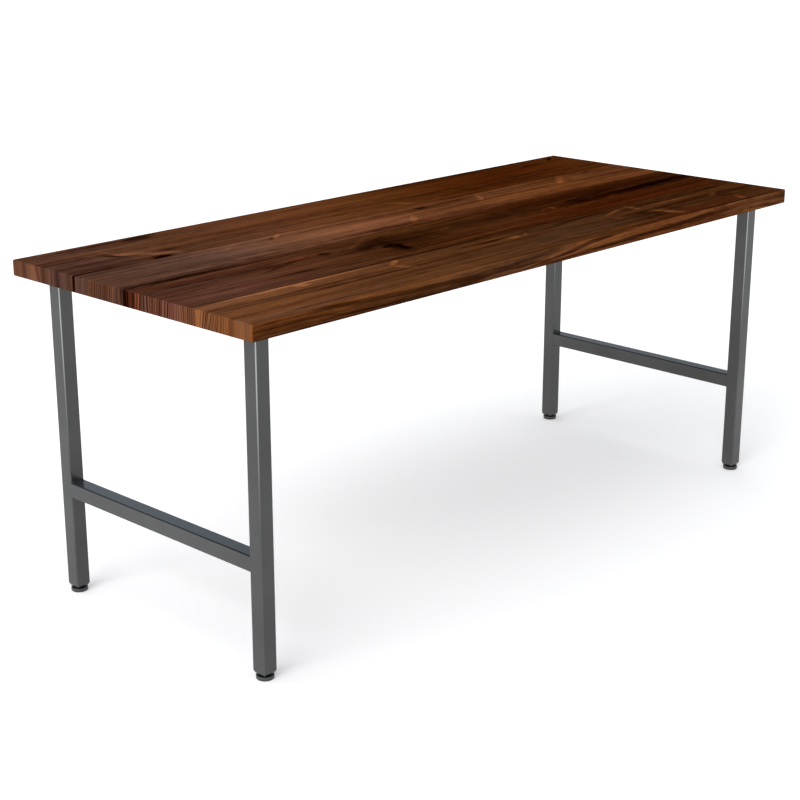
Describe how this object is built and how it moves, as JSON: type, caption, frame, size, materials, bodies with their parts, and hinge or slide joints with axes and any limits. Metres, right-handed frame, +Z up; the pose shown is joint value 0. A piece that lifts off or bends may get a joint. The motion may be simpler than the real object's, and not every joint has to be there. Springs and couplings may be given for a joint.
{
  "type": "desk",
  "caption": "Rectangular plank-topped desk on two welded H-shaped square-tube end frames, with screw-in levelling feet.",
  "frame": {"origin": "on the floor, under the middle of the top", "axes": "+X along the length, -Y towards the front, where a person sits, +Z up"},
  "size_m": [1.8288, 0.762, 0.762],
  "materials": {
    "walnut_brown": "oiled walnut, mid brown, knotty",
    "walnut_light": "oiled walnut, light tan-brown",
    "walnut_dark": "oiled walnut, purplish dark brown with near-black streaks",
    "walnut_tan": "oiled walnut, golden tan",
    "grey_powder_coat": "satin dark grey powder coat",
    "zinc_plated_steel": "zinc plated",
    "black_oxide_steel": "black oxide, oiled",
    "brass": "turned",
    "foot_cup_grey": "satin dark grey",
    "foot_sole_nylon": "moulded nylon"
  },
  "bodies": {
    "desk": {"front_board": "walnut_tan", "front_middle_board": "walnut_dark", "left_back_foot_cap": "grey_powder_coat", "left_back_leg": "grey_powder_coat", "left_back_weld_nut": "zinc_plated_steel", "left_front_foot_cap": "grey_powder_coat", "left_front_leg": "grey_powder_coat", "left_front_weld_nut": "zinc_plated_steel", "left_mounting_bar": "grey_powder_coat", "left_mounting_bolts": "zinc_plated_steel", "left_stretcher": "grey_powder_coat", "left_threaded_inserts": "brass", "left_washers": "zinc_plated_steel", "rear_board": "walnut_brown", "rear_middle_board": "walnut_light", "right_back_foot_cap": "grey_powder_coat", "right_back_leg": "grey_powder_coat", "right_back_weld_nut": "zinc_plated_steel", "right_front_foot_cap": "grey_powder_coat", "right_front_leg": "grey_powder_coat", "right_front_weld_nut": "zinc_plated_steel", "right_mounting_bar": "grey_powder_coat", "right_mounting_bolts": "zinc_plated_steel", "right_stretcher": "grey_powder_coat", "right_threaded_inserts": "brass", "right_washers": "zinc_plated_steel"},
    "left_front_sole": {"left_front_foot_sole": "foot_sole_nylon"},
    "left_front_screw": {"left_front_foot_cup": "foot_cup_grey", "left_front_foot_stud": "black_oxide_steel"},
    "left_back_sole": {"left_back_foot_sole": "foot_sole_nylon"},
    "left_back_screw": {"left_back_foot_cup": "foot_cup_grey", "left_back_foot_stud": "black_oxide_steel"},
    "right_front_sole": {"right_front_foot_sole": "foot_sole_nylon"},
    "right_front_screw": {"right_front_foot_cup": "foot_cup_grey", "right_front_foot_stud": "black_oxide_steel"},
    "right_back_sole": {"right_back_foot_sole": "foot_sole_nylon"},
    "right_back_screw": {"right_back_foot_cup": "foot_cup_grey", "right_back_foot_stud": "black_oxide_steel"}
  },
  "joints": [
    {"name": "left_front_foot_travel", "type": "slide", "parent": "desk", "child": "left_front_sole", "axis": [0, 0, -1], "range_m": [-0.002, 0.021]},
    {"name": "left_front_foot_turn", "type": "hinge", "parent": "left_front_sole", "child": "left_front_screw", "pos_m": [-0.8449, -0.3115, 0.0042], "axis": [0, 0, -1], "range_deg": [-480, 5040]},
    {"name": "left_back_foot_travel", "type": "slide", "parent": "desk", "child": "left_back_sole", "axis": [0, 0, -1], "range_m": [-0.002, 0.021]},
    {"name": "left_back_foot_turn", "type": "hinge", "parent": "left_back_sole", "child": "left_back_screw", "pos_m": [-0.8449, 0.3115, 0.0042], "axis": [0, 0, -1], "range_deg": [-480, 5040]},
    {"name": "right_front_foot_travel", "type": "slide", "parent": "desk", "child": "right_front_sole", "axis": [0, 0, -1], "range_m": [-0.002, 0.021]},
    {"name": "right_front_foot_turn", "type": "hinge", "parent": "right_front_sole", "child": "right_front_screw", "pos_m": [0.8449, -0.3115, 0.0042], "axis": [0, 0, -1], "range_deg": [-480, 5040]},
    {"name": "right_back_foot_travel", "type": "slide", "parent": "desk", "child": "right_back_sole", "axis": [0, 0, -1], "range_m": [-0.002, 0.021]},
    {"name": "right_back_foot_turn", "type": "hinge", "parent": "right_back_sole", "child": "right_back_screw", "pos_m": [0.8449, 0.3115, 0.0042], "axis": [0, 0, -1], "range_deg": [-480, 5040]}
  ],
  "couplings": [
    {"joint": "left_front_foot_turn", "follows": "left_front_foot_travel", "rad_per_m": 4188.8},
    {"joint": "left_back_foot_turn", "follows": "left_back_foot_travel", "rad_per_m": 4188.8},
    {"joint": "right_front_foot_turn", "follows": "right_front_foot_travel", "rad_per_m": 4188.8},
    {"joint": "right_back_foot_turn", "follows": "right_back_foot_travel", "rad_per_m": 4188.8}
  ]
}
